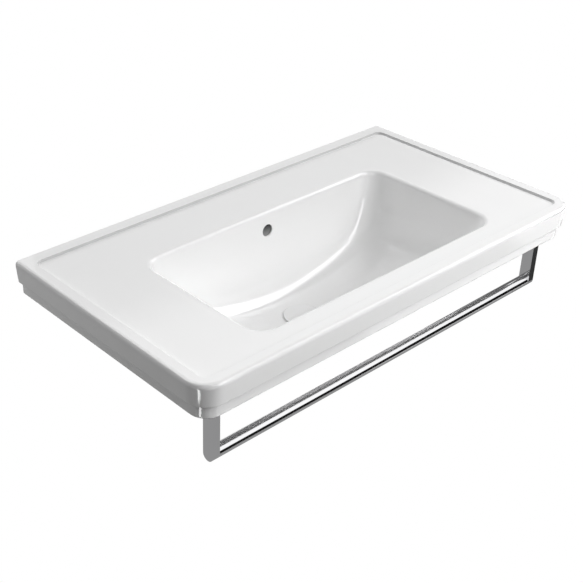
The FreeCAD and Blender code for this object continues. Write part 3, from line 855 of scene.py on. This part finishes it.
def hole_shade_group():
    """Mask where shade is painted, 1 inside the overflow hole: near the hole's axis, rising behind
    the back wall's surface and ending where the hole ends."""
    group, entry, result = new_group("painted_hole_shade_mask", ["Place"], "Mask", "NodeSocketFloat")
    at = axes(group, entry.outputs["Place"])
    flat = add_node(group, "ShaderNodeCombineXYZ", {"X": at["X"], "Z": at["Z"]}).outputs[0]
    gap = vector_node(group, "DISTANCE", flat, (0.0, 0.0, overflow_z * MM))["Value"]
    wall_y = bowl_back_y - (deck_z - overflow_z) * math.tan(radians(back_draft))
    masks = [window(group, gap, hole_round, MM)]
    for none, full in (hole_mouth, hole_end):
        masks.append(window(group, at["Y"], (wall_y + none, wall_y + full), MM))
    connect(group, result, {"Mask": product(group, masks)})
    return group


def step_shade_group():
    """Mask where shade is painted, 1 on the slope between deck and rim: a window in height, in a
    box that leaves out the fascia. The same mask makes the slope mirror-smooth."""
    group, entry, result = new_group("painted_step_shade_mask", ["Place"], "Mask", "NodeSocketFloat")
    middle = ((step_left + step_right) / 2 * MM, (step_front + step_back) / 2 * MM, 0.0)
    moved = vector_node(group, "SUBTRACT", entry.outputs["Place"], middle)[0]
    at = axes(group, vector_node(group, "ABSOLUTE", moved)[0])
    masks = [
        math_node(group, "LESS_THAN", at["X"], (step_right - step_left) / 2 * MM)[0],
        math_node(group, "LESS_THAN", at["Y"], (step_back - step_front) / 2 * MM)[0],
        window(group, at["Z"], step_foot, MM),
        window(group, at["Z"], step_crest, MM),
    ]
    connect(group, result, {"Mask": product(group, masks)})
    return group


def corner_group():
    """Facing direction with a share of the upright added in the bowl's two rear corners, where the
    surface turns between the back and a side wall."""
    sockets = ["Place", "Facing"]
    group, entry, result = new_group("corner_taper", sockets, "Normal", "NodeSocketVector")
    at, facing = axes(group, entry.outputs["Place"]), axes(group, entry.outputs["Facing"])
    sideways = math_node(group, "ABSOLUTE", facing["X"])[0]
    corner = product(group, [
        window(group, at["Z"], corner_low, MM), window(group, at["Z"], corner_high, MM),
        window(group, at["Y"], corner_rear, MM), window(group, sideways, corner_turned),
        window(group, sideways, corner_sideways), window(group, facing["Y"], corner_forward),
    ])
    upward = math_node(group, "MULTIPLY", corner, corner_lift)[0]
    rise = add_node(group, "ShaderNodeCombineXYZ", {"Z": upward}).outputs[0]
    total = vector_node(group, "ADD", entry.outputs["Facing"], rise)[0]
    connect(group, result, {"Normal": vector_node(group, "NORMALIZE", total)[0]})
    return group


def clouded(tree, scale, detail, dark, pale):
    """Object coordinates, a noise on them, and the colour that the noise mixes from two tones."""
    where = tree.nodes.new("ShaderNodeTexCoord").outputs["Object"]
    inputs = {"Vector": where, "Scale": scale, "Detail": detail}
    cloud = add_node(tree, "ShaderNodeTexNoise", inputs).outputs["Fac"]
    return where, cloud, mixed(tree, cloud, dark, pale)


def drift(tree, cloud, low, high):
    """Value that follows a noise from a low level to a high one."""
    inputs = {"Value": cloud, "To Min": low, "To Max": high}
    return add_node(tree, "ShaderNodeMapRange", inputs).outputs[0]


def glaze_material():
    """White glaze: faintly uneven in tone, with painted grey shade and mirror-smooth roughness on
    the step, painted dark shade in the overflow hole, and with the bowl's rear corners opened
    upwards."""
    material, tree, shader = new_material("white_glaze")
    tones = grey(glaze_dark), grey(glaze_pale)
    where, cloud, tone = clouded(tree, glaze_scale, glaze_detail, *tones)
    step, hole = (
        add_node(tree, "ShaderNodeGroup", {"Place": where}, node_tree=group).outputs["Mask"]
        for group in (step_shade_group(), hole_shade_group())
    )
    # Shade painted grey on the step's slope, where the step mask is full
    step_shaded = mixed(tree, step, tone, grey(painted_step_shade))
    sheen = drift(tree, cloud, *glaze_roughness)
    facing = tree.nodes.new("ShaderNodeNewGeometry").outputs["Normal"]
    inputs = {"Place": where, "Facing": facing}
    taper = add_node(tree, "ShaderNodeGroup", inputs, node_tree=corner_group())
    connect(tree, shader, {
        # Shade painted near black inside the overflow hole
        "Base Color": mixed(tree, hole, step_shaded, grey(painted_hole_shade)),
        "Roughness": mixed(tree, step, sheen, mirror_roughness, "FLOAT"),
        "IOR": glaze_ior,
        "Normal": taper.outputs["Normal"],
    })
    return material


def metal_material(name, dark, pale, roughness, scale):
    """Metal whose tone and roughness drift a little with a fine noise."""
    material, tree, shader = new_material(name)
    _, cloud, tone = clouded(tree, scale, fine_detail, (*dark, 1.0), (*pale, 1.0))
    low, high = roughness * (1 - roughness_drift), roughness * (1 + roughness_drift)
    grain = drift(tree, cloud, low, high)
    connect(tree, shader, {"Base Color": tone, "Roughness": grain, "Metallic": 1.0})
    return material


def soft_material(name, dark, pale, roughness, scale):
    """Rubber or nylon: a mottled tone and a fine grain that breaks up the shine."""
    material, tree, shader = new_material(name)
    _, cloud, tone = clouded(tree, scale, fine_detail, (*dark, 1.0), (*pale, 1.0))
    inputs = {"Height": cloud, "Strength": grain_strength, "Distance": grain_depth}
    grain = add_node(tree, "ShaderNodeBump", inputs).outputs["Normal"]
    connect(tree, shader, {"Base Color": tone, "Roughness": roughness, "Normal": grain})
    return material


def white_to_eye(tree, plain, white):
    """White to the camera, to reflections and through glass; the plain shader for all else."""
    rays = tree.nodes.new("ShaderNodeLightPath").outputs
    seen = math_node(tree, "MAXIMUM", rays["Is Camera Ray"], rays["Is Glossy Ray"])[0]
    seen = math_node(tree, "MAXIMUM", seen, rays["Is Transmission Ray"])[0]
    inputs = {0: seen, 1: plain.outputs[0], 2: white.outputs[0]}
    return add_node(tree, "ShaderNodeMixShader", inputs).outputs[0]


def flat_piece(name, corners, faces, material):
    """Flat object of the studio from its corners and faces."""
    mesh = bpy.data.meshes.new(name)
    mesh.from_pydata(corners, [], faces)
    mesh.materials.append(material)
    return add_object(name, mesh)


def add_card(name, corners, glow, fade=None, low_glow=0.0, rail_glow=None, rail_only=False):
    """Studio card that only reflections see: a fan of triangles from the mean of its corners. A
    fade is the brightness gained for each metre along each axis, from a low value to the full one.
    Mirror-sharp reflections, as in the rail, may see another brightness, or alone see the card."""
    corners = np.array(corners, dtype=float)
    count, centre = len(corners), corners.mean(axis=0)
    material, tree, _ = new_material(name)
    strength = 1.0 if fade else glow
    light = add_node(tree, "ShaderNodeEmission", {"Strength": strength})
    if fade:
        where = tree.nodes.new("ShaderNodeTexCoord").outputs["Object"]
        along = vector_node(tree, "DOT_PRODUCT", where, fade)["Value"]
        middle, half = float(np.dot(centre, fade)), (glow - low_glow) / 2
        ramp = add_node(tree, "ShaderNodeMapRange", {
            "Value": along, "From Min": middle - half, "From Max": middle + half,
            "To Min": low_glow, "To Max": glow,
        })
        connect(tree, light, {"Color": ramp.outputs[0]})
    shown, sharp = light, tree.nodes.new("ShaderNodeLightPath").outputs["Is Singular Ray"]
    if rail_glow is not None:
        connect(tree, light, {"Strength": mixed(tree, sharp, strength, rail_glow, "FLOAT")})
    if rail_only:
        clear = tree.nodes.new("ShaderNodeBsdfTransparent")
        inputs = {0: sharp, 1: clear.outputs[0], 2: light.outputs[0]}
        shown = add_node(tree, "ShaderNodeMixShader", inputs)
    connect(tree, tree.nodes["Material Output"], {"Surface": shown.outputs[0]})
    faces = [(i, (i + 1) % count, count) for i in range(count)]
    card = flat_piece(name, np.vstack([corners, centre]).tolist(), faces, material)
    card.visible_camera = card.visible_diffuse = False
    card.visible_shadow = card.visible_transmission = False


# Studio, in metres and degrees: floor, points round which cards and lamps stand, and camera
floor_half, studio_floor_z, card_gap = 9.0, -0.85, 0.01
floor_tone, floor_roughness = 0.25, 0.9
card_middle, strip_middle, lamp_middle = (0.05, -0.3, 0.05), (-0.49, -0.53, 0.1), (0.0, -0.27, 0.0)
world_light = 0.02
fill_reach = 6.0
softbox_aim = (-0.7, 0.7, 0.0)
camera_place, camera_fall, camera_turn = (-1.3758, -1.5747, 1.1254), 30.166, -40.677
camera_sensor, camera_lens, camera_shift, camera_limit = 36.0, 67.73, (0.13895, -0.035), 50.0


def seen_at(directions, reach, middle=card_middle):
    """Points at a distance from a middle, for pairs of azimuth from the front to the right and
    elevation, in degrees."""
    azimuth, rise = np.radians(np.array(directions, dtype=float)).T
    flat = np.cos(rise)
    ray = np.column_stack([np.sin(azimuth) * flat, -np.cos(azimuth) * flat, np.sin(rise)])
    return np.array(middle) + reach * ray


def level_square(left, right, front, back, z):
    """Corners of a level rectangle."""
    return [(left, front, z), (right, front, z), (right, back, z), (left, back, z)]


def build_floor():
    """Pale floor under the basin, white to the camera and in reflections."""
    material, tree, shader = new_material("floor_white")
    connect(tree, shader, {"Base Color": grey(floor_tone), "Roughness": floor_roughness})
    mix = white_to_eye(tree, shader, tree.nodes.new("ShaderNodeEmission"))
    connect(tree, tree.nodes["Material Output"], {"Surface": mix})
    corners = level_square(-floor_half, floor_half, -floor_half, floor_half, studio_floor_z)
    floor = flat_piece("studio_floor", corners, [(0, 1, 2, 3)], material)


def build_cards():
    """Cards on the floor and round the basin, for the reflections in the glaze and the rail."""
    low = studio_floor_z + card_gap
    add_card("grey_table_card", level_square(-2.5, 0.95, -1.62, 1.5, low), 0.33)
    add_card("grey_right_card", level_square(0.95, 1.62, -1.39, 0.5, low), 0.33)
    add_card("black_right_card", level_square(1.62, 2.3, -1.39, -0.9, low), 0.04, rail_only=True)
    add_card("dark_front_card", [
        (-0.6, -1.64, -0.84), (3.6, -1.64, -0.84), (3.6, -2.1, 0.55), (1.8, -2.1, 0.55),
        (1.05, -2.1, 0.25), (-0.6, -2.1, 0.2),
    ], 0.01)
    add_card("dark_side_card", [
        (0.58, -0.52, -0.25), (0.58, 0.0, -0.25), (0.58, 0.0, 0.03), (0.58, -0.52, 0.03),
    ], 0.15)
    add_card("dark_top_card", seen_at([
        (-60, 48), (-20, 50), (20, 52), (30, 60), (45, 67), (60, 66), (75, 60), (90, 56), (93, 48),
        (97, 40), (112, 40), (128, 44), (140, 55), (150, 62), (180, 64), (-150, 64), (-120, 60),
        (-90, 54),
    ], 2.8), 0.03)
    add_card("dark_left_card", seen_at([
        (-185, -25), (-120, -25), (-60, 0), (-60, 48), (-120, 50), (-150, 44), (-185, 42),
    ], 3.0), 0.03)
    add_card("right_card", seen_at([
        (49, 13), (48, 40), (29, 41), (22, 46), (32, 54), (40, 59), (52, 61), (66, 58), (88, 53),
        (98, 42), (98, 18), (70, 11),
    ], 4.0), 5.5, rail_glow=1.15)
    rail_shade = seen_at([(45, 43), (100, 43), (100, 64), (45, 64)], 3.9)
    add_card("rail_shade_card", rail_shade, 0.08, rail_only=True)
    gap = seen_at([(27, 13), (49, 13), (48, 41), (29, 41)], 4.2)
    add_card("gap_card", gap, 1.0, rail_glow=1.2)
    front = seen_at([(0, 13), (27, 13), (27, 42), (6, 38)], 4.0)
    add_card("front_card", front, 5.5, rail_glow=1.2)
    below = seen_at([(31, 8), (54, 8), (54, 17), (31, 17)], 4.1)
    add_card("low_card", below, 1.0, rail_glow=1.2)
    rear = seen_at([(110, 10), (162, 10), (162, 46), (110, 46)], 3.4)
    add_card("rear_card", rear, 1.1, (0.06, -2.04, 2.62), 0.45, rail_glow=0.2)
    strip = seen_at([(-79, -47), (-66, -47), (-66, -37), (-79, -37)], 1.28, strip_middle)
    add_card("strip_card", strip, 8.0, rail_glow=0.33)


def build_world():
    """Dim white surroundings, full white to the camera and in reflections."""
    world = bpy.data.worlds.new("studio")
    bpy.context.scene.world = world
    world.use_nodes = True
    tree = world.node_tree
    dim = tree.nodes["Background"]
    connect(tree, dim, {"Color": grey(1.0), "Strength": world_light})
    white = add_node(tree, "ShaderNodeBackground", {"Color": grey(1.0), "Strength": 1.0})
    connect(tree, tree.nodes["World Output"], {"Surface": white_to_eye(tree, dim, white)})


def add_softbox(name, where, aim, size, radiance):
    """Rectangular lamp that faces a point, with a power of its radiance times pi times its area.
    Reflections show the cards instead of the lamps."""
    light = bpy.data.lights.new(name, "AREA")
    light.shape = "RECTANGLE"
    light.size, light.size_y = size
    light.energy = radiance * math.pi * size[0] * size[1]
    lamp = add_object(name, light)
    lamp.location = where
    x, y, z = np.array(aim, dtype=float) - np.array(where, dtype=float)
    lamp.rotation_euler = (math.atan2(math.hypot(x, y), -z), 0.0, math.atan2(-x, y))
    lamp.visible_glossy = False


def build_lights():
    """Softboxes at the front right and above, soft fills from behind and both sides, and two thin
    strips that light the fascia from the front and the left."""
    for name, where, size, radiance in (
        ("key_softbox", (0.742, -3.770, 2.48), (3.9, 1.35), 5.0),
        ("low_softbox", (1.432, -3.081, 1.35), (1.95, 0.9), 2.6),
        ("side_softbox", (2.811, -1.702, 2.48), (1.95, 1.35), 1.2),
    ):
        add_softbox(name, where, np.add(where, softbox_aim), size, radiance)
    add_softbox("top_softbox", (0.3, -1.75, 2.2), (0.3, -1.75, 0.0), (3.0, 0.9), 2.9)
    for name, direction, size, radiance in (
        ("rear_fill", (180, 36), (5.4, 4.6), 3.35),
        ("right_fill", (120, 36), (5.4, 4.6), 0.7),
        ("left_fill", (-45, 40), (5.1, 4.4), 0.2),
    ):
        where = seen_at([direction], fill_reach, lamp_middle)[0]
        add_softbox(name, where, lamp_middle, size, radiance)
    add_softbox("front_strip", (1.20, -1.75, 0.08), (0.3, -0.54, 0.08), (1.2, 0.06), 52.0)
    add_softbox("left_strip", (-1.55, 0.40, 0.08), (-0.5, -0.2, 0.08), (1.2, 0.06), 13.0)


def build_camera():
    """Camera at the photograph's place, tilted down by its fall and turned about the upright."""
    camera = bpy.data.cameras.new("photo_camera")
    camera.sensor_width, camera.lens = camera_sensor, camera_lens
    camera.shift_x, camera.shift_y = camera_shift
    camera.clip_end = camera_limit
    eye = add_object("photo_camera", camera)
    eye.location = camera_place
    eye.rotation_euler = (radians(90 - camera_fall), 0.0, radians(camera_turn))
    bpy.context.scene.camera = eye


bpy.context.scene.view_settings.view_transform = "Standard"
glaze = glaze_material()
chrome_tones = (0.79, 0.79, 0.80), (0.81, 0.81, 0.82)
chrome = metal_material("polished_chrome", *chrome_tones, mirror_roughness, 30.0)
finishes = {
    "ceramic": glaze,
    "chrome": chrome,
    "brass": metal_material("turned_brass", (0.70, 0.52, 0.25), (0.80, 0.63, 0.34), 0.22, 60.0),
    "steel": metal_material("stainless_steel", (0.55, 0.55, 0.57), (0.65, 0.65, 0.67), 0.30, 80.0),
    "rubber": soft_material("black_rubber", (0.03, 0.03, 0.03), (0.055, 0.055, 0.055), 0.65, 400.0),
    "nylon": soft_material("natural_nylon", (0.70, 0.70, 0.67), (0.79, 0.79, 0.77), 0.45, 250.0),
}
for part in frame["record"]["subparts"]:
    for holder in frame["nodes"][part["node"]].material_slots:
        holder.material = finishes[part["material_slot"]]
build_basin(glaze)
build_cover(glaze)
build_rail(chrome)
build_floor()
build_cards()
build_world()
build_lights()
build_camera()
